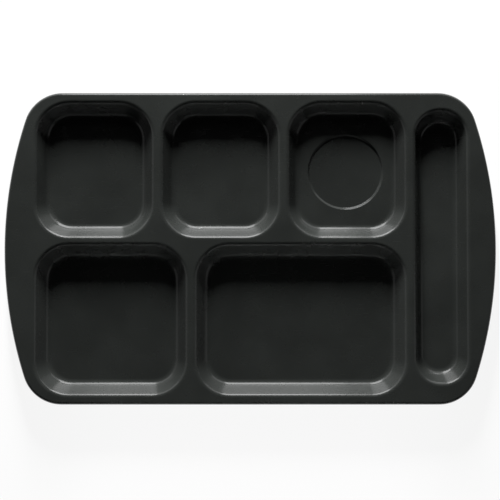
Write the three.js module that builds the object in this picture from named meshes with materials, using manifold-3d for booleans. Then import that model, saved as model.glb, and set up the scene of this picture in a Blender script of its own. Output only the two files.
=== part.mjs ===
// A right-hand compartment tray for meals: one moulded shell with six wells sunk in a flat deck,
// bowed hand grips at both ends and a turned-down rim. The meshes are the sections of that moulding.
// Millimetres. +X is to the right of the person eating, +Y away from them and +Z up.
// The origin is on the table, under the middle of the tray.

import * as THREE from "three";
import { mergeVertices } from "three/addons/utils/BufferGeometryUtils.js";
import Module from "manifold-3d";

// Driving dimensions of the outline
const TRAY_LENGTH = 400;
const TRAY_WIDTH = 254;
const TRAY_HEIGHT = 18;
const WALL = 3;
const BOW_RADIUS = 342;
const CORNER_RADIUS = 32;
const RIM_DROP = 7;
const RIM_EDGE_RADIUS = 2.5;

// Driving dimensions of the plan of the wells, measured at their mouths on the deck
const LEFT_GRIP = 22.4;
const RIGHT_GRIP = 20.6;
const RAIL = 5.7;
const DIVIDER = 2.5;
const ROW_DIVIDER = 1.3;
const UPPER_ROW_WIDTH = 114.5;
const SALAD_WELL_LENGTH = 128.2;
const CUTLERY_WELL_LENGTH = 48;
const CUTLERY_WELL_WIDTH = 227.5;
const CUTLERY_RAIL = 11.9;
const MOUTH_CORNER = 30;
const FLOOR_CORNER = 17;

// Driving dimensions of the walls of the wells
const LIP_RADIUS = 4.2;
const FLOOR_RADIUS = 6.5;
const WALL_SLOPE_DEG = 62;
const CUTLERY_SIDE_SLOPE_DEG = 70;

// Driving dimensions of the recess that a cup stands in
const CUP_SEAT_DIAMETER = 59;
const CUP_SEAT_DEPTH = 1.6;
const CUP_SEAT_RUN = 2;

// Fineness of the curves, and the least radius and straight that they leave
const CORNER_STEPS = 6;
const BOW_STEPS = 14;
const LIP_STEPS = 3;
const FLOOR_STEPS = 4;
const EDGE_STEPS = 3;
const LEAST_RADIUS = 0.3;
const LEAST_STRAIGHT = 0.5;

// The finish: black melamine with a satin skin
const TRAY_COLOUR = 0x262827;
const TRAY_ROUGHNESS = 0.45;

const wasm = await Module();
wasm.setup();

// Solids made from three.js geometry

function solidOf(geometry) {
  const merged = mergeVertices(geometry);
  return new wasm.Manifold(
    new wasm.Mesh({
      numProp: 3,
      vertProperties: merged.getAttribute("position").array,
      triVerts: new Uint32Array(merged.index.array),
    }),
  );
}

function geometryOf(solid) {
  const { vertProperties, triVerts } = solid.getMesh();
  return new THREE.BufferGeometry()
    .setAttribute("position", new THREE.BufferAttribute(vertProperties, 3))
    .setIndex(new THREE.BufferAttribute(triVerts, 1));
}

// A box from one corner to the other, as a solid to cut with.
function block(low, high) {
  const size = new THREE.Vector3().subVectors(high, low);
  const middle = new THREE.Vector3().addVectors(low, high).divideScalar(2);
  const box = new THREE.BoxGeometry(size.x, size.y, size.z).translate(middle.x, middle.y, middle.z);
  box.deleteAttribute("normal");
  box.deleteAttribute("uv");
  return solidOf(box);
}

// Skins a row of rings, each one a closed run of points at its own height, counter-clockwise from
// above. The row goes up an outside and down an inside. Its two ends are capped, or joined as a loop.
function loft(rings, { loop = false } = {}) {
  const count = rings[0].points.length;
  const index = [];
  rings.forEach((_, r) => {
    const next = (r + 1) % rings.length;
    if (next === 0 && !loop) return;
    for (let i = 0; i < count; i++) {
      const j = (i + 1) % count;
      const [a, b] = [r * count + i, r * count + j];
      const [c, d] = [next * count + j, next * count + i];
      index.push(a, b, c, a, c, d);
    }
  });
  if (!loop) {
    const last = (rings.length - 1) * count;
    const faces = (ring) => THREE.ShapeUtils.triangulateShape(ring.points, []);
    for (const [a, b, c] of faces(rings[0])) index.push(c, b, a);
    for (const [a, b, c] of faces(rings.at(-1))) index.push(last + a, last + b, last + c);
  }
  const places = rings.flatMap(({ points, z }) => points.flatMap((p) => [p.x, p.y, z]));
  return new THREE.BufferGeometry()
    .setAttribute("position", new THREE.Float32BufferAttribute(places, 3))
    .setIndex(index);
}

// Rings of points

// Even values from one to another, both included.
function spread(from, to, steps) {
  return Array.from({ length: steps + 1 }, (_, i) => from + ((to - from) * i) / steps);
}

function arc(x, y, radius, from, to, steps) {
  return new THREE.EllipseCurve(x, y, radius, radius, from, to).getPoints(steps);
}

// A rectangle with round corners about the origin.
function roundedRectangle(halfX, halfY, corner) {
  const radius = Math.min(corner, halfX - LEAST_STRAIGHT, halfY - LEAST_STRAIGHT);
  const signs = [[1, 1], [-1, 1], [-1, -1], [1, -1]];
  return signs.flatMap(([sx, sy], quarter) => {
    const [x, y] = [sx * (halfX - radius), sy * (halfY - radius)];
    const from = (quarter * Math.PI) / 2;
    return arc(x, y, radius, from, from + Math.PI / 2, CORNER_STEPS);
  });
}

// A circle whose points lie opposite those of a rounded rectangle.
function circle(radius) {
  const count = 4 * (CORNER_STEPS + 1);
  const step = (2 * Math.PI) / count;
  const from = Math.PI / 4 - (CORNER_STEPS / 2) * step;
  return arc(0, 0, radius, from, from + 2 * Math.PI - step, count - 1);
}

// The tray's plan, drawn in by an inset: straight front and back, bowed ends and round corners.
function outline(inset) {
  const bowX = TRAY_LENGTH / 2 - BOW_RADIUS;
  const cornerY = TRAY_WIDTH / 2 - CORNER_RADIUS;
  const cornerX = bowX + Math.sqrt((BOW_RADIUS - CORNER_RADIUS) ** 2 - cornerY ** 2);
  const turn = Math.atan2(cornerY, cornerX - bowX);
  const bow = BOW_RADIUS - inset;
  const corner = CORNER_RADIUS - inset;
  const half = Math.PI / 2;
  return [
    arc(bowX, 0, bow, -turn, turn, BOW_STEPS),
    arc(cornerX, cornerY, corner, turn, half, CORNER_STEPS).slice(1),
    arc(-cornerX, cornerY, corner, half, 2 * half - turn, CORNER_STEPS),
    arc(-bowX, 0, bow, 2 * half - turn, 2 * half + turn, BOW_STEPS).slice(1),
    arc(-cornerX, -cornerY, corner, 2 * half + turn, 3 * half, CORNER_STEPS).slice(1),
    arc(cornerX, -cornerY, corner, 3 * half, 4 * half - turn, CORNER_STEPS).slice(0, -1),
  ].flat();
}

// Sections of the walls

// One wall of a well: it rounds over a lip, falls along a straight slope and rounds out on the floor.
// Depths are below the deck and runs are inwards from the mouth. The underside lies a thickness below.
function wallSection(slopeDeg, floorDepth, thickness) {
  const slope = THREE.MathUtils.degToRad(slopeDeg);
  const bend = 1 - Math.cos(slope);
  const reach = Math.tan(slope / 2);
  const lip = Math.max(LIP_RADIUS - thickness, LEAST_RADIUS);
  const floor = FLOOR_RADIUS + thickness;
  const top = thickness;
  const bottom = floorDepth + thickness;
  const lipEnd = top + lip * bend;
  const floorStart = bottom - floor * bend;
  const lineAt = (depth) => LIP_RADIUS * reach - thickness / Math.sin(slope) + depth / Math.tan(slope);
  const mouthRun = lineAt(top) - lip * reach;
  const floorRun = lineAt(bottom) + floor * reach;
  const bulge = (radius, height) => Math.sqrt(Math.max(radius ** 2 - (radius - height) ** 2, 0));
  const runAt = (depth) => {
    if (depth <= top) return mouthRun;
    if (depth < lipEnd) return mouthRun + bulge(lip, depth - top);
    if (depth < floorStart) return lineAt(depth);
    return floorRun - bulge(floor, bottom - depth);
  };
  const lipDepths = spread(0, slope, LIP_STEPS).map((turn) => top + lip * (1 - Math.cos(turn)));
  const floorDepths = spread(slope, 0, FLOOR_STEPS).map((turn) => bottom - floor * (1 - Math.cos(turn)));
  return { runAt, lipEnd, floorRun, lipDepths, floorDepths };
}

// A well's food side and underside, as rings at any depth about the middle of its mouth.
function wellSurfaces(well) {
  const halfX = (well.right - well.left) / 2;
  const halfY = (well.back - well.front) / 2;
  const surface = (thickness) => {
    const side = wallSection(well.sideSlopeDeg, well.floorDepth, thickness);
    const end = wallSection(WALL_SLOPE_DEG, well.floorDepth, thickness);
    const ringAt = (depth) => {
      const run = end.runAt(depth);
      const corner = MOUTH_CORNER - ((MOUTH_CORNER - FLOOR_CORNER) * run) / end.floorRun;
      const points = roundedRectangle(halfX - side.runAt(depth), halfY - run, corner);
      return { points, z: TRAY_HEIGHT - depth };
    };
    const lipEnd = Math.max(side.lipEnd, end.lipEnd);
    return { ringAt, lipEnd, lipDepths: side.lipDepths, floorDepths: side.floorDepths };
  };
  return { food: surface(0), under: surface(WALL) };
}

// The plan: three wells behind, two in front and one down the right for the cutlery

const wellDepth = TRAY_HEIGHT - WALL;
const leftEdge = LEFT_GRIP - TRAY_LENGTH / 2;
const rightEdge = TRAY_LENGTH / 2 - RIGHT_GRIP;
const backEdge = TRAY_WIDTH / 2 - RAIL;
const frontEdge = -backEdge;
const upperFront = backEdge - UPPER_ROW_WIDTH;
const lowerBack = upperFront - ROW_DIVIDER;
const cutleryLeft = rightEdge - CUTLERY_WELL_LENGTH;
const cutleryBack = TRAY_WIDTH / 2 - CUTLERY_RAIL;
const cutleryFront = cutleryBack - CUTLERY_WELL_WIDTH;
const rowsRight = cutleryLeft - DIVIDER;
const sideWellLength = (rowsRight - leftEdge - 2 * DIVIDER) / 3;
const sideWellPitch = sideWellLength + DIVIDER;
const saladRight = leftEdge + SALAD_WELL_LENGTH;

const usual = { sideSlopeDeg: WALL_SLOPE_DEG, floorDepth: wellDepth };

function upperWell(name, place) {
  const left = leftEdge + place * sideWellPitch;
  const right = left + sideWellLength;
  return { ...usual, name, left, right, front: upperFront, back: backEdge };
}

function lowerWell(name, left, right) {
  return { ...usual, name, left, right, front: frontEdge, back: lowerBack };
}

const wells = [
  upperWell("left_side_well", 0),
  upperWell("middle_side_well", 1),
  { ...upperWell("cup_well", 2), floorDepth: wellDepth - CUP_SEAT_DEPTH, cupSeat: true },
  lowerWell("salad_well", leftEdge, saladRight),
  lowerWell("entree_well", saladRight + DIVIDER, rowsRight),
  {
    name: "cutlery_well",
    left: cutleryLeft,
    right: rightEdge,
    front: cutleryFront,
    back: cutleryBack,
    sideSlopeDeg: CUTLERY_SIDE_SLOPE_DEG,
    floorDepth: wellDepth,
  },
].map((well) => ({ ...well, ...wellSurfaces(well) }));

const middleOf = (well) => [(well.left + well.right) / 2, (well.front + well.back) / 2];

// The wells part from the deck on one level, just below the lips of every wall.
const seamDepth = Math.max(...wells.flatMap(({ food, under }) => [food.lipEnd, under.lipEnd]));

// The sections of the moulding

// A well below the seam: up its underside, over the seam and down its food side to the floor.
function wellGeometry(well) {
  const { food, under } = well;
  const outside = under.floorDepths.toReversed().map(under.ringAt);
  const inside = food.floorDepths.map(food.ringAt);
  const rings = [...outside, under.ringAt(seamDepth), food.ringAt(seamDepth), ...inside];
  if (!well.cupSeat) return loft(rings);
  const seat = CUP_SEAT_DIAMETER / 2;
  const boss = seat + WALL * Math.tan(Math.atan2(CUP_SEAT_DEPTH, CUP_SEAT_RUN) / 2);
  const disc = (radius, depth) => ({ points: circle(radius), z: TRAY_HEIGHT - depth });
  return loft([
    disc(boss, wellDepth + WALL),
    disc(boss + CUP_SEAT_RUN, well.floorDepth + WALL),
    ...rings,
    disc(seat + CUP_SEAT_RUN, well.floorDepth),
    disc(seat, wellDepth),
  ]);
}

// The hole that a well makes in the deck, and the shoulder that the deck turns down around it.
function mouthSolids(well) {
  const { food, under } = well;
  const [x, y] = middleOf(well);
  const solid = (rings) => solidOf(loft(rings).translate(x, y, 0));
  const above = { points: food.ringAt(0).points, z: TRAY_HEIGHT + WALL };
  const below = food.ringAt(seamDepth + WALL);
  const inPlate = { points: under.ringAt(WALL).points, z: TRAY_HEIGHT - WALL / 2 };
  const foodLip = food.lipDepths.toReversed().map(food.ringAt);
  const underLip = under.lipDepths.toReversed().slice(1).map(under.ringAt);
  return {
    hole: solid([below, ...foodLip, above]),
    shoulder: solid([under.ringAt(seamDepth), ...underLip, inPlate]),
  };
}

// The flat plate inside the rim, between two planes across the tray.
function plate(left, right) {
  const points = outline(WALL);
  const whole = solidOf(loft([{ points, z: TRAY_HEIGHT - WALL }, { points, z: TRAY_HEIGHT }]));
  const low = new THREE.Vector3(left, -TRAY_WIDTH, 0);
  const high = new THREE.Vector3(right, TRAY_WIDTH, 2 * TRAY_HEIGHT);
  return whole.intersect(block(low, high));
}

// The deck around the wells, with the divider bars between them.
function deckGeometry(left, right) {
  let deck = plate(left, right);
  const mouths = wells.map(mouthSolids);
  for (const { shoulder } of mouths) deck = deck.add(shoulder);
  for (const { hole } of mouths) deck = deck.subtract(hole);
  return geometryOf(deck);
}

// The turned-down edge all round, with its upper outside corner rounded.
function rimGeometry() {
  const radius = Math.min(RIM_EDGE_RADIUS, WALL - LEAST_STRAIGHT);
  const ring = (inset, z) => ({ points: outline(inset), z });
  const foot = TRAY_HEIGHT - RIM_DROP;
  const edge = spread(0, Math.PI / 2, EDGE_STEPS).map((turn) =>
    ring(radius * (1 - Math.cos(turn)), TRAY_HEIGHT - radius * (1 - Math.sin(turn))),
  );
  return loft([ring(0, foot), ...edge, ring(WALL, TRAY_HEIGHT), ring(WALL, foot)], { loop: true });
}

// The tray

function section(name, geometry) {
  geometry.computeVertexNormals();
  const finish = { color: TRAY_COLOUR, roughness: TRAY_ROUGHNESS, metalness: 0 };
  const mesh = new THREE.Mesh(geometry, new THREE.MeshStandardMaterial(finish));
  mesh.name = name;
  return mesh;
}

const gripLeft = leftEdge - DIVIDER / 2;
const gripRight = rightEdge + DIVIDER / 2;

const tray = new THREE.Group();
tray.add(
  section("deck", deckGeometry(gripLeft, gripRight)),
  section("left_grip", geometryOf(plate(-TRAY_LENGTH, gripLeft))),
  section("right_grip", geometryOf(plate(gripRight, TRAY_LENGTH))),
  section("rim", rimGeometry()),
);
for (const well of wells) {
  const mesh = section(well.name, wellGeometry(well));
  mesh.position.set(...middleOf(well), 0);
  tray.add(mesh);
}

export default tray;
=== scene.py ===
"""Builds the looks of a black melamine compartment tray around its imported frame, and its stage."""

import math

import bmesh
import bpy
from bpy.props import FloatProperty, FloatVectorProperty, PointerProperty
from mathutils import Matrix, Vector


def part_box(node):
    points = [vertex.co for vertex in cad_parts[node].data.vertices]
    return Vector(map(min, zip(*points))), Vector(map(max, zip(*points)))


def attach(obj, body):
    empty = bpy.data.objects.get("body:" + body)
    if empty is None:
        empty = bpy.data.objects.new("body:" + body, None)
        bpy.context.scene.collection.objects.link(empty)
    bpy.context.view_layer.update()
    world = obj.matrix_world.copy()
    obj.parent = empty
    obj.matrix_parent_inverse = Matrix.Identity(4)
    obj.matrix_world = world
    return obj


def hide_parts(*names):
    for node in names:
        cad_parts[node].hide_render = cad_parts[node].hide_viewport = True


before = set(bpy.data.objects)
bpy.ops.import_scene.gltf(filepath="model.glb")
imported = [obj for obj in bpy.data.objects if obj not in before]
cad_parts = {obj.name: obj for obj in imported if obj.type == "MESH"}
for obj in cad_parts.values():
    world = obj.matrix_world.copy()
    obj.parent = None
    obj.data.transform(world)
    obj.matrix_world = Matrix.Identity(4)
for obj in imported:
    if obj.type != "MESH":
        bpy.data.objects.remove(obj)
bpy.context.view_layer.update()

bl_info = {
    "name": "Compartment Tray",
    "version": (1, 0, 0),
    "blender": (4, 5, 0),
    "location": "3D View > Sidebar > Tray",
    "description": "Builds a moulded meal tray with six wells around its CAD frame, and lights it",
    "category": "Add Mesh",
}

BODY = "root"
SLOT = "black_melamine"

# Places that the frame gives
RIM_LOW, RIM_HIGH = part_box("rim")
LEFT_GRIP_LOW, LEFT_GRIP_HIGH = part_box("left_grip")
RIGHT_GRIP_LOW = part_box("right_grip")[0]
HALF_LENGTH = (RIM_HIGH.x - RIM_LOW.x) / 2
HALF_WIDTH = (RIM_HIGH.y - RIM_LOW.y) / 2
TOP = RIM_HIGH.z
CUP_WELL = "cup_well"
CUTLERY_WELL = "cutlery_well"
WELLS = ("left_side_well", "middle_side_well", CUP_WELL, "salad_well", "entree_well", CUTLERY_WELL)

# The two sides of the moulding, counted in thicknesses below the food side
FOOD_SIDE = 0
UNDERSIDE = 1

# Fineness of the meshes
CORNER_STEPS = 14
SIDE_STEPS = 6
BOW_STEPS = 48
LIP_STEPS = 12
FILLET_STEPS = 14
SEAT_STEPS = 8
EDGE_STEPS = 8
SHARP_ANGLE = math.radians(35)
LEAST_RADIUS = 0.0003
LEAST_STRAIGHT = 0.0005
FLAT_MARGIN = 0.00025

# Marks in the melamine: features per metre, the part of the noise that is used, and how much they show
MOTTLE_SCALE = 22.0
MOTTLE_RANGE = (0.35, 0.65)
MOTTLE_GAIN = 1.25
SCUFF_SCALE = (60.0, 1400.0, 60.0)
SCUFF_TURN = 0.6
SCUFF_RANGE = (0.66, 0.74)
SCUFF_COLOUR = (0.05, 0.051, 0.05, 1.0)
SCUFF_SHARE = 0.18
SCUFF_ROUGHNESS = 0.12
RUBBED_SCALE = 14.0
RUBBED_RANGE = (0.45, 0.7)
UNEVEN_SCALE = 75.0
UNEVEN_RANGE = (0.3, 0.7)
UNEVEN_ROUGHNESS = 0.03
RIPPLE_SCALE = 26.0
GRAIN_SCALE = 1300.0
MELAMINE_IOR = 1.5

# Floor and surround: heights in the sky are sines of the angle above the horizon
WHITE = (1.0, 1.0, 1.0, 1.0)
FLOOR_HALF = 30.0
FLOOR_DROP = 0.0004
FLOOR_WHITE_SHARE = 0.9
SKY_LIGHT_AT_HORIZON = 0.02
SKY_LIGHT_ABOVE = 0.006
SKY_DIM_HEIGHT = 0.6
MIRRORED_WHITE_HEIGHT = 0.03

# Point on the deck that the camera is aimed at
AIM = Vector((-0.0002, -0.0016, TOP))


def length(name, description, default):
    """A length that a user may change, in metres."""
    return FloatProperty(
        name=name,
        description=description,
        default=default,
        min=0.0,
        precision=4,
        unit="LENGTH",
        subtype="DISTANCE",
    )


def angle(name, description, degrees):
    """An angle that a user may change."""
    return FloatProperty(name=name, description=description, default=math.radians(degrees), subtype="ANGLE")


def share(name, description, default):
    """A value between none and all."""
    return FloatProperty(
        name=name, description=description, default=default, min=0.0, max=1.0, subtype="FACTOR"
    )


def strength(name, description):
    """A factor on the strength of some lamps."""
    return FloatProperty(name=name, description=description, default=1.0, min=0.0)


def colour(name, description, default):
    """A colour, in linear light."""
    return FloatVectorProperty(
        name=name, description=description, default=default, min=0.0, max=1.0, size=3, subtype="COLOR"
    )


class TrayShape(bpy.types.PropertyGroup):
    """Sizes of the moulding"""

    wall: length("Wall", "Thickness of the moulding", LEFT_GRIP_HIGH.z - LEFT_GRIP_LOW.z)
    bow_radius: length("Bow radius", "Radius of the bowed ends in plan", 0.342)
    corner_radius: length("Corner radius", "Radius of the tray's corners in plan", 0.032)
    rim_edge_radius: length("Rim edge", "Radius of the rim's upper edge", 0.0025)
    rim_foot_radius: length("Rim foot", "Radius of the edges under the rim", 0.0006)
    mouth_corner: length("Mouth corner", "Radius of a well's corners at the deck", 0.030)
    floor_corner: length("Floor corner", "Radius of a well's corners at its floor", 0.017)
    lip_radius: length("Lip radius", "Radius of the lip where the deck turns down", 0.0042)
    floor_radius: length("Floor radius", "Radius where a wall runs out on its floor", 0.0065)
    wall_slope: angle("Wall slope", "Slope of the walls of the wells", 62)
    cutlery_slope: angle("Cutlery slope", "Slope of the long walls of the cutlery well", 70)
    cup_seat_diameter: length("Cup seat", "Diameter of the recess that a cup stands in", 0.059)
    cup_seat_depth: length("Cup seat depth", "Depth of that recess below its floor", 0.0016)
    cup_seat_run: length("Cup seat run", "Run of the step around that recess", 0.002)


class TrayFinish(bpy.types.PropertyGroup):
    """Looks of the melamine"""

    melamine: colour("Melamine", "Colour of the melamine", (0.0187, 0.0204, 0.0191))
    roughness: share("Roughness", "Roughness of the moulded skin", 0.26)
    gloss: share("Gloss", "Share of the polished skin above it", 0.8)
    gloss_roughness: share("Gloss roughness", "Roughness of the polished skin", 0.10)
    grain: length("Grain", "Depth of the fine grain in the skin", 0.00002)
    ripple: length("Ripple", "Depth of the slow ripple that moulding leaves", 0.00012)


class TrayStage(bpy.types.PropertyGroup):
    """Floor, lamps and camera"""

    floor: colour("Floor", "Colour of the floor", (0.90, 0.90, 0.90))
    camera_distance: length("Camera distance", "From the camera to the middle of the deck", 0.80)
    camera_tilt: angle("Camera tilt", "Lean of the view towards the front of the tray", 1.5)
    camera_lens: FloatProperty(name="Lens", description="Focal length", default=70.9, min=1.0, unit="CAMERA")
    camera_shift: share("Shift", "Rise of the lens, as a share of the picture", 0.08)
    key: strength("Key", "Strength of the lamps that light the tray")
    mirrored: strength("Mirrored", "Strength of the panels that the skin mirrors")


# Plan curves


def spread(start, end, steps):
    """Even values from start to end, both included."""
    return [start + (end - start) * step / steps for step in range(steps + 1)]


def arc(x, y, radius, start, end, steps):
    """Points of an arc, both ends included."""
    return [(x + radius * math.cos(turn), y + radius * math.sin(turn)) for turn in spread(start, end, steps)]


def rounded_rectangle(half_x, half_y, corner):
    """A rectangle with round corners about the origin, counter-clockwise."""
    radius = min(corner, half_x - LEAST_STRAIGHT, half_y - LEAST_STRAIGHT)
    corners = []
    for quarter, (side_x, side_y) in enumerate(((1, 1), (-1, 1), (-1, -1), (1, -1))):
        start = quarter * math.pi / 2
        middle = side_x * (half_x - radius), side_y * (half_y - radius)
        corners.append(arc(*middle, radius, start, start + math.pi / 2, CORNER_STEPS))
    points = []
    for this, following in zip(corners, corners[1:] + corners[:1]):
        points += this
        (x0, y0), (x1, y1) = this[-1], following[0]
        for part in spread(0, 1, SIDE_STEPS)[1:-1]:
            points.append((x0 + (x1 - x0) * part, y0 + (y1 - y0) * part))
    return points


def outline(shape, inset):
    """The tray's plan, drawn in by an inset: straight front and back, bowed ends and round corners."""
    bow_x = HALF_LENGTH - shape.bow_radius
    corner_y = HALF_WIDTH - shape.corner_radius
    corner_x = bow_x + math.sqrt((shape.bow_radius - shape.corner_radius) ** 2 - corner_y**2)
    turn = math.atan2(corner_y, corner_x - bow_x)
    bow = shape.bow_radius - inset
    corner = shape.corner_radius - inset
    quarter = math.pi / 2
    right_back = arc(bow_x, 0, bow, 0, turn, BOW_STEPS // 2)
    right_back += arc(corner_x, corner_y, corner, turn, quarter, CORNER_STEPS)[1:]
    back = right_back + [(-x, y) for x, y in reversed(right_back)]
    front = [(x, -y) for x, y in reversed(back)]
    return back + front[1:-1]


def between(points, left, right):
    """The part of a convex run of points that lies between two planes across the tray."""
    for edge, side in ((left, 1), (right, -1)):
        kept = []
        for (x0, y0), (x1, y1) in zip(points, points[1:] + points[:1]):
            inside = side * (x0 - edge) >= 0
            if inside:
                kept.append((x0, y0))
            if inside != (side * (x1 - edge) >= 0):
                kept.append((edge, y0 + (y1 - y0) * (edge - x0) / (x1 - x0)))
        points = kept
    return points


def at_height(plan, height):
    """Points of a plan, all at one height."""
    return [(x, y, height) for x, y in plan]


# Sections of the walls


def bulge(radius, height):
    """How far a round of that radius has run at a height above its lowest point."""
    return math.sqrt(max(radius**2 - (radius - height) ** 2, 0))


class Wall:
    """Section of one wall of a well: over a lip, down a straight slope and out on to the floor.

    Depths are below the deck and runs are inwards from the mouth. The food side has no thickness, and the
    underside lies the moulding's thickness below it.
    """

    def __init__(self, shape, slope, floor_depth, thickness):
        reach = math.tan(slope / 2)
        bend = 1 - math.cos(slope)
        self.slope = slope
        self.lip = max(shape.lip_radius - thickness, LEAST_RADIUS)
        self.fillet = shape.floor_radius + thickness
        self.top = thickness
        self.bottom = floor_depth + thickness
        self.lip_end = self.top + self.lip * bend
        self.fillet_start = self.bottom - self.fillet * bend
        self.start = shape.lip_radius * reach - thickness / math.sin(slope)
        self.mouth_run = self.line(self.top) - self.lip * reach
        self.floor_run = self.line(self.bottom) + self.fillet * reach

    def line(self, depth):
        """Run of the straight slope, drawn on past its ends."""
        return self.start + depth / math.tan(self.slope)

    def run(self, depth):
        """Run of the wall at a depth."""
        if depth <= self.top:
            return self.mouth_run
        if depth < self.lip_end:
            return self.mouth_run + bulge(self.lip, depth - self.top)
        if depth < self.fillet_start:
            return self.line(depth)
        return self.floor_run - bulge(self.fillet, self.bottom - depth)

    def lip_depths(self):
        """Depths down the lip, from the deck to the slope."""
        turns = spread(0, self.slope, LIP_STEPS)
        return [self.top + self.lip * (1 - math.cos(turn)) for turn in turns]

    def fillet_depths(self):
        """Depths down the fillet, from the slope to the floor."""
        turns = spread(self.slope, 0, FILLET_STEPS)
        return [self.bottom - self.fillet * (1 - math.cos(turn)) for turn in turns]


class Well:
    """A well's place, taken from its CAD node, and the rings of its two sides."""

    def __init__(self, shape, node):
        low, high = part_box(node)
        self.node = node
        self.shape = shape
        self.middle = (low + high) / 2
        self.seam_depth = TOP - high.z
        self.seat_depth = TOP - low.z - shape.wall
        self.floor_depth = self.seat_depth - (shape.cup_seat_depth if node == CUP_WELL else 0)
        self.sides = self.walls(shape.cutlery_slope if node == CUTLERY_WELL else shape.wall_slope)
        self.ends = self.walls(shape.wall_slope)
        self.half_x = (high.x - low.x) / 2 + self.sides[UNDERSIDE].run(self.seam_depth)
        self.half_y = (high.y - low.y) / 2 + self.ends[UNDERSIDE].run(self.seam_depth)

    def walls(self, slope):
        """Both sides of a wall of that slope."""
        shape = self.shape
        faces = (FOOD_SIDE, UNDERSIDE)
        return {face: Wall(shape, slope, self.floor_depth, face * shape.wall) for face in faces}

    def ring(self, depth, face, inset=0.0):
        """Points around the well at a depth, on its food side or its underside."""
        shape = self.shape
        run_x = self.sides[face].run(depth) + inset
        run_y = self.ends[face].run(depth) + inset
        share_of_run = run_y / self.ends[face].floor_run
        corner = shape.mouth_corner - (shape.mouth_corner - shape.floor_corner) * share_of_run
        return self.placed(rounded_rectangle(self.half_x - run_x, self.half_y - run_y, corner), depth)

    def circle(self, radius, depth):
        """Points of a circle about the well's middle, opposite those of its rings."""
        mouth = rounded_rectangle(self.half_x, self.half_y, self.shape.mouth_corner)
        turns = [math.atan2(y, x) for x, y in mouth]
        return self.placed([(radius * math.cos(turn), radius * math.sin(turn)) for turn in turns], depth)

    def placed(self, plan, depth):
        """Moves a plan about the origin to the well, at a depth below the deck."""
        return [(self.middle.x + x, self.middle.y + y, TOP - depth) for x, y in plan]


# Meshes


class Moulding:
    """A closed mesh in the making, from rings of points."""

    def __init__(self):
        self.mesh = bmesh.new()

    def ring(self, points):
        """Adds the points of a ring."""
        return [self.mesh.verts.new(point) for point in points]

    def skin(self, rings, loop=False):
        """Joins each ring to the next with quads."""
        for this, following in zip(rings, rings[1:] + rings[:1] if loop else rings[1:]):
            for i, corner in enumerate(this):
                self.mesh.faces.new((this[i - 1], corner, following[i], following[i - 1]))

    def cap(self, ring):
        """Closes a ring with one flat face."""
        self.mesh.faces.new(ring)

    def sheet(self, rings):
        """Fills the flat sheet inside the first ring and around the others."""
        edges = []
        for ring in rings:
            for i, corner in enumerate(ring):
                pair = ring[i - 1], corner
                edges.append(self.mesh.edges.get(pair) or self.mesh.edges.new(pair))
        bmesh.ops.triangle_fill(self.mesh, use_beauty=True, edges=edges, normal=(0, 0, 1))

    def piece(self, name, node, material):
        """Turns the mesh into a piece that stands for a CAD node."""
        bmesh.ops.recalc_face_normals(self.mesh, faces=self.mesh.faces)
        open_edges = sum(not edge.is_manifold for edge in self.mesh.edges)
        if open_edges:
            raise RuntimeError(f"{name} has {open_edges} open edges")
        data = bpy.data.meshes.new(name)
        self.mesh.to_mesh(data)
        self.mesh.free()
        data.shade_smooth()
        data.set_sharp_from_angle(angle=SHARP_ANGLE)
        data.materials.append(material)
        made = bpy.data.objects.new(name, data)
        bpy.context.scene.collection.objects.link(made)
        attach(made, BODY)
        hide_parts(node)


def plate(name, node, plan, shape, material):
    """A flat plate of the moulding's thickness, level with the deck."""
    moulding = Moulding()
    rings = [moulding.ring(at_height(plan, height)) for height in (TOP - shape.wall, TOP)]
    moulding.skin(rings)
    for ring in rings:
        moulding.cap(ring)
    moulding.piece(name, node, material)


def mouth(shape, place):
    """Rings of a well's mouth in the deck: down its lip to the seam, and up again on the underside."""
    seam = place.seam_depth
    lip = place.ends[FOOD_SIDE].lip_depths()
    lip_below = place.ends[UNDERSIDE].lip_depths()
    rings = [place.ring(0, FOOD_SIDE, -FLAT_MARGIN)]
    rings += [place.ring(depth, FOOD_SIDE) for depth in lip + [seam]]
    rings += [place.ring(seam, UNDERSIDE)]
    rings += [place.ring(depth, UNDERSIDE) for depth in reversed(lip_below) if depth < seam]
    rings += [place.ring(shape.wall, UNDERSIDE, -FLAT_MARGIN)]
    return rings


def deck(shape, material):
    """The sheet around the wells, turned down at every mouth as far as the seam."""
    moulding = Moulding()
    plan = between(outline(shape, shape.wall), LEFT_GRIP_HIGH.x, RIGHT_GRIP_LOW.x)
    above = [moulding.ring(at_height(plan, TOP))]
    below = [moulding.ring(at_height(plan, TOP - shape.wall))]
    moulding.skin([below[0], above[0]])
    for node in WELLS:
        rings = [moulding.ring(points) for points in mouth(shape, Well(shape, node))]
        moulding.skin(rings)
        above.append(rings[0])
        below.append(rings[-1])
    moulding.sheet(above)
    moulding.sheet(below)
    moulding.piece("tray_deck", "deck", material)


def rim(shape, material):
    """The turned-down edge all round, rounded above and eased below."""
    moulding = Moulding()
    foot = RIM_LOW.z
    edge = shape.rim_edge_radius
    ease = shape.rim_foot_radius
    quarter = math.pi / 2
    section = arc(ease, foot + ease, ease, 3 * quarter, 2 * quarter, EDGE_STEPS)
    section += arc(edge, TOP - edge, edge, 2 * quarter, quarter, EDGE_STEPS)
    section += [(edge + FLAT_MARGIN, TOP), (shape.wall, TOP)]
    section += arc(shape.wall - ease, foot + ease, ease, 0, -quarter, EDGE_STEPS)
    rings = [moulding.ring(at_height(outline(shape, inset), height)) for inset, height in section]
    moulding.skin(rings, loop=True)
    moulding.piece("tray_rim", "rim", material)


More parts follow.
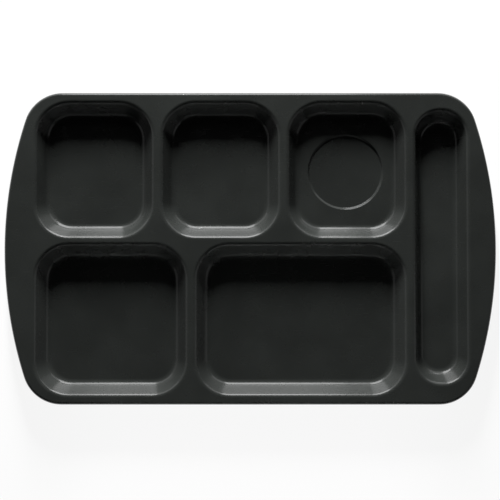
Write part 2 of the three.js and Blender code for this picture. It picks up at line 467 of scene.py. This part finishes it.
def cup_step(shape, place, face):
    """The step around the cup's recess, from the floor down: an easy curve with no hard edge."""
    half_turn = math.atan2(shape.cup_seat_depth, shape.cup_seat_run) / 2
    inner = shape.cup_seat_diameter / 2 + face * shape.wall * math.tan(half_turn)
    floor_depth = place.floor_depth + face * shape.wall
    seat_depth = place.seat_depth + face * shape.wall
    rings = [place.circle(inner + shape.cup_seat_run + FLAT_MARGIN, floor_depth)]
    for part in spread(0, 1, SEAT_STEPS):
        drop = shape.cup_seat_depth * (1 - math.cos(math.pi * part)) / 2
        rings.append(place.circle(inner + shape.cup_seat_run * (1 - part), floor_depth + drop))
    rings.append(place.circle(inner - FLAT_MARGIN, seat_depth))
    return rings


def well_side(shape, place, face):
    """Rings of one side of a well, from the seam down to the middle of its floor."""
    rings = [place.ring(place.seam_depth, face)]
    rings += [place.ring(depth, face) for depth in place.sides[face].fillet_depths()]
    rings += [place.ring(place.ends[face].bottom, face, FLAT_MARGIN)]
    if place.node == CUP_WELL:
        rings += cup_step(shape, place, face)
    return rings


def well(shape, node, material):
    """One well below the seam: up its underside, over the seam and down its food side."""
    moulding = Moulding()
    place = Well(shape, node)
    points = list(reversed(well_side(shape, place, UNDERSIDE))) + well_side(shape, place, FOOD_SIDE)
    rings = [moulding.ring(ring) for ring in points]
    moulding.skin(rings)
    moulding.cap(rings[0])
    moulding.cap(rings[-1])
    moulding.piece("tray_" + node, node, material)


# Finish


class Nodes:
    """Adds nodes to a tree and joins them."""

    def __init__(self, tree):
        self.tree = tree
        self.tree.nodes.clear()

    def add(self, kind, settings=None, **inputs):
        """Adds a node with its settings, and sets or links its inputs by name or place."""
        made = self.tree.nodes.new(kind)
        for name, value in (settings or {}).items():
            setattr(made, name, value)
        for name, value in inputs.items():
            socket = made.inputs[int(name[1:]) if name[1:].isdigit() else name.replace("_", " ")]
            if isinstance(value, bpy.types.NodeSocket):
                self.tree.links.new(value, socket)
            else:
                socket.default_value = value
        return made

    def maths(self, operation, *values):
        """The result of a sum on values or sockets."""
        inputs = {f"_{place}": value for place, value in enumerate(values)}
        return self.add("ShaderNodeMath", {"operation": operation}, **inputs).outputs[0]

    def largest(self, first, *others):
        """The largest of several values or sockets."""
        for other in others:
            first = self.maths("MAXIMUM", first, other)
        return first

    def ranged(self, value, limits, to_low=0.0, to_high=1.0):
        """A value between two limits, stretched to run from one level to another."""
        low, high = limits
        made = self.add(
            "ShaderNodeMapRange", Value=value, From_Min=low, From_Max=high, To_Min=to_low, To_Max=to_high
        )
        return made.outputs["Result"]


def melamine(finish):
    """Black melamine: a satin moulded skin under a thin polish, with grain, slow ripple and light wear."""
    material = bpy.data.materials.get(SLOT) or bpy.data.materials.new(SLOT)
    material.use_nodes = True
    nodes = Nodes(material.node_tree)
    place = nodes.add("ShaderNodeTexCoord").outputs["Object"]

    def noise(scale, detail, vector=place):
        made = nodes.add("ShaderNodeTexNoise", Vector=vector, Scale=scale, Detail=detail)
        return made.outputs["Fac"]

    def mixed(factor, first, second):
        made = nodes.add("ShaderNodeMix", {"data_type": "RGBA"}, _0=factor, _6=first, _7=second)
        return made.outputs[2]

    base = (*finish.melamine, 1.0)
    pale = (*(MOTTLE_GAIN * part for part in finish.melamine), 1.0)
    body = mixed(nodes.ranged(noise(MOTTLE_SCALE, detail=3.0), MOTTLE_RANGE), base, pale)

    stretched = nodes.add(
        "ShaderNodeMapping", Vector=place, Scale=SCUFF_SCALE, Rotation=(0.0, 0.0, SCUFF_TURN)
    )
    lines = noise(1.0, detail=2.0, vector=stretched.outputs["Vector"])
    scuff = nodes.ranged(lines, SCUFF_RANGE)
    rubbed = nodes.ranged(noise(RUBBED_SCALE, detail=2.0), RUBBED_RANGE)
    marks = nodes.maths("MULTIPLY", scuff, rubbed)
    marked = mixed(nodes.ranged(marks, (0.0, 1.0), to_high=SCUFF_SHARE), body, SCUFF_COLOUR)

    patches = noise(UNEVEN_SCALE, detail=4.0)
    uneven = nodes.ranged(patches, UNEVEN_RANGE, to_low=-UNEVEN_ROUGHNESS, to_high=UNEVEN_ROUGHNESS)
    satin = nodes.maths("ADD", uneven, finish.roughness)
    rough = nodes.maths("MULTIPLY_ADD", marks, SCUFF_ROUGHNESS, satin)

    waves = noise(RIPPLE_SCALE, detail=1.0)
    slow = nodes.add("ShaderNodeBump", Strength=1.0, Distance=finish.ripple, Height=waves).outputs[0]
    pores = noise(GRAIN_SCALE, detail=3.0)
    fine = nodes.add("ShaderNodeBump", Strength=1.0, Distance=finish.grain, Height=pores, Normal=slow)
    shader = nodes.add(
        "ShaderNodeBsdfPrincipled",
        Base_Color=marked,
        Roughness=rough,
        IOR=MELAMINE_IOR,
        Normal=fine.outputs[0],
        Coat_Weight=finish.gloss,
        Coat_Roughness=finish.gloss_roughness,
        Coat_Normal=slow,
    )
    nodes.add("ShaderNodeOutputMaterial", Surface=shader.outputs[0])
    return material


# Stage


def floor_finish(stage):
    """A pale floor that looks white and keeps the tray's shadow."""
    material = bpy.data.materials.new("pale_floor")
    material.use_nodes = True
    nodes = Nodes(material.node_tree)
    path = nodes.add("ShaderNodeLightPath").outputs
    seen = nodes.largest(path["Is Camera Ray"], path["Is Glossy Ray"], path["Is Transmission Ray"])
    lit = nodes.add("ShaderNodeBsdfDiffuse", Color=(*stage.floor, 1.0)).outputs[0]
    white = nodes.add("ShaderNodeEmission", Color=WHITE, Strength=1.0).outputs[0]
    share_of_white = nodes.maths("MULTIPLY", seen, FLOOR_WHITE_SHARE)
    surface = nodes.add("ShaderNodeMixShader", _0=share_of_white, _1=lit, _2=white).outputs[0]
    nodes.add("ShaderNodeOutputMaterial", Surface=surface)
    return material


def floor(stage):
    """The floor, just under the tray and wide enough for low views."""
    data = bpy.data.meshes.new("floor")
    corners = ((-1, -1), (1, -1), (1, 1), (-1, 1))
    plan = [(FLOOR_HALF * x, FLOOR_HALF * y) for x, y in corners]
    data.from_pydata(at_height(plan, -FLOOR_DROP), [], [(0, 1, 2, 3)])
    data.materials.append(floor_finish(stage))
    made = bpy.data.objects.new("floor", data)
    bpy.context.scene.collection.objects.link(made)


def sky():
    """A dim surround that looks white.

    A little light comes from the horizon and almost none from above. The skin mirrors the white only near the
    horizon, because a white sky all over would be more light on the tray.
    """
    world = bpy.context.scene.world or bpy.data.worlds.new("surround")
    bpy.context.scene.world = world
    world.use_nodes = True
    nodes = Nodes(world.node_tree)
    direction = nodes.add("ShaderNodeTexCoord").outputs["Generated"]
    height = nodes.add("ShaderNodeSeparateXYZ", Vector=direction).outputs["Z"]
    light = nodes.ranged(height, (0.0, SKY_DIM_HEIGHT), SKY_LIGHT_AT_HORIZON, SKY_LIGHT_ABOVE)
    path = nodes.add("ShaderNodeLightPath").outputs
    low = nodes.maths("LESS_THAN", height, MIRRORED_WHITE_HEIGHT)
    mirrored = nodes.maths("MULTIPLY", path["Is Glossy Ray"], low)
    level = nodes.largest(light, path["Is Camera Ray"], path["Is Transmission Ray"], mirrored)
    background = nodes.add("ShaderNodeBackground", Color=WHITE, Strength=level)
    nodes.add("ShaderNodeOutputWorld", Surface=background.outputs[0])


def lamp(name, distance, turns, heights, radiance, diffuse=True, glossy=True, spread_angle=180):
    """A soft lamp that fills a window of directions as seen from the deck, unseen by the camera.

    Turns are degrees to the right of the tray's back, and heights are degrees above the deck.
    """
    turn = math.radians(sum(turns) / 2)
    height = math.radians(sum(heights) / 2)
    level = math.cos(height)
    data = bpy.data.lights.new(name, "AREA")
    data.shape = "RECTANGLE"
    data.size = 2 * distance * level * math.tan(math.radians(turns[1] - turns[0]) / 2)
    data.size_y = 2 * distance * math.tan(math.radians(heights[1] - heights[0]) / 2)
    data.energy = math.pi * data.size * data.size_y * radiance
    data.spread = math.radians(spread_angle)
    made = bpy.data.objects.new(name, data)
    direction = Vector((level * math.sin(turn), level * math.cos(turn), math.sin(height)))
    made.location = Vector((0.0, 0.0, TOP)) + distance * direction
    made.rotation_euler = (-direction).to_track_quat("-Z", "Y").to_euler()
    made.visible_camera = False
    made.visible_diffuse = diffuse
    made.visible_glossy = glossy
    bpy.context.scene.collection.objects.link(made)


def lighting_lamps(power):
    """Low light from behind and a little from the front, which the skin doesn't mirror."""
    lamp("key", distance=1.6, turns=(-7.2, -2.8), heights=(9, 26), radiance=500.0 * power, glossy=False)
    lamp(
        "fill",
        distance=0.26,
        turns=(150, 210),
        heights=(1, 9.5),
        radiance=3.0 * power,
        glossy=False,
        spread_angle=80,
    )


def mirrored_panels(power):
    """Pale panels around the tray that only its skin mirrors."""
    lamp("window", distance=0.8, turns=(-22, 12.5), heights=(2, 40), radiance=4.3 * power, diffuse=False)
    lamp("glow", distance=1.5, turns=(-60, 50), heights=(2, 40), radiance=0.7 * power, diffuse=False)
    lamp("left", distance=1.5, turns=(-115, -60), heights=(2, 40), radiance=0.15 * power, diffuse=False)
    lamp("right", distance=1.5, turns=(88, 130), heights=(2, 40), radiance=0.16 * power, diffuse=False)
    lamp("front", distance=1.5, turns=(140, 210), heights=(0.5, 30), radiance=0.1 * power, diffuse=False)


def camera(stage):
    """Looks down on the tray, leaning a little from the front."""
    data = bpy.data.cameras.new("camera")
    data.lens = stage.camera_lens
    data.shift_y = stage.camera_shift
    made = bpy.data.objects.new("camera", data)
    rise = stage.camera_tilt + math.atan(data.shift_y * data.sensor_width / data.lens)
    made.location = AIM + stage.camera_distance * Vector((0.0, -math.sin(rise), math.cos(rise)))
    made.rotation_euler = (stage.camera_tilt, 0.0, 0.0)
    bpy.context.scene.collection.objects.link(made)
    bpy.context.scene.camera = made


# Operators


class TRAY_OT_deck(bpy.types.Operator):
    """Make the deck around the wells"""

    bl_idname = "tray.deck"
    bl_label = "Deck"
    bl_options = {"REGISTER", "UNDO"}

    def execute(self, context):
        deck(context.scene.tray_shape, melamine(context.scene.tray_finish))
        return {"FINISHED"}


class TRAY_OT_grips(bpy.types.Operator):
    """Make the flat hand grips at both ends"""

    bl_idname = "tray.grips"
    bl_label = "Hand grips"
    bl_options = {"REGISTER", "UNDO"}

    def execute(self, context):
        shape = context.scene.tray_shape
        material = melamine(context.scene.tray_finish)
        plan = outline(shape, shape.wall)
        left = between(plan, -HALF_LENGTH, LEFT_GRIP_HIGH.x)
        right = between(plan, RIGHT_GRIP_LOW.x, HALF_LENGTH)
        plate("tray_left_grip", "left_grip", left, shape, material)
        plate("tray_right_grip", "right_grip", right, shape, material)
        return {"FINISHED"}


class TRAY_OT_rim(bpy.types.Operator):
    """Make the turned-down rim"""

    bl_idname = "tray.rim"
    bl_label = "Rim"
    bl_options = {"REGISTER", "UNDO"}

    def execute(self, context):
        rim(context.scene.tray_shape, melamine(context.scene.tray_finish))
        return {"FINISHED"}


class TRAY_OT_wells(bpy.types.Operator):
    """Make the six wells"""

    bl_idname = "tray.wells"
    bl_label = "Wells"
    bl_options = {"REGISTER", "UNDO"}

    def execute(self, context):
        material = melamine(context.scene.tray_finish)
        for node in WELLS:
            well(context.scene.tray_shape, node, material)
        return {"FINISHED"}


class TRAY_OT_stage(bpy.types.Operator):
    """Set up the floor, the lamps and the camera"""

    bl_idname = "tray.stage"
    bl_label = "Stage"
    bl_options = {"REGISTER", "UNDO"}

    def execute(self, context):
        stage = context.scene.tray_stage
        context.scene.view_settings.view_transform = "Standard"
        floor(stage)
        sky()
        lighting_lamps(stage.key)
        mirrored_panels(stage.mirrored)
        camera(stage)
        return {"FINISHED"}


class TRAY_PT_panel(bpy.types.Panel):
    """Lists the sizes, the finish and the steps"""

    bl_idname = "TRAY_PT_panel"
    bl_label = "Compartment Tray"
    bl_space_type = "VIEW_3D"
    bl_region_type = "UI"
    bl_category = "Tray"

    def draw(self, context):
        for group in (context.scene.tray_shape, context.scene.tray_finish, context.scene.tray_stage):
            box = self.layout.box()
            for name in group.__annotations__:
                box.prop(group, name)
        for operator in OPERATORS:
            self.layout.operator(operator.bl_idname)


OPERATORS = (TRAY_OT_deck, TRAY_OT_grips, TRAY_OT_rim, TRAY_OT_wells, TRAY_OT_stage)
CLASSES = (TrayShape, TrayFinish, TrayStage, *OPERATORS, TRAY_PT_panel)


def register():
    """Adds the classes, and their settings to the scene."""
    for made in CLASSES:
        bpy.utils.register_class(made)
    bpy.types.Scene.tray_shape = PointerProperty(type=TrayShape)
    bpy.types.Scene.tray_finish = PointerProperty(type=TrayFinish)
    bpy.types.Scene.tray_stage = PointerProperty(type=TrayStage)


def unregister():
    """Takes the settings and the classes away again."""
    del bpy.types.Scene.tray_stage
    del bpy.types.Scene.tray_finish
    del bpy.types.Scene.tray_shape
    for made in reversed(CLASSES):
        bpy.utils.unregister_class(made)


def main():
    """Makes the stage and every piece."""
    register()
    bpy.ops.tray.stage()
    bpy.ops.tray.deck()
    bpy.ops.tray.grips()
    bpy.ops.tray.rim()
    bpy.ops.tray.wells()


if __name__ == "__main__":
    main()
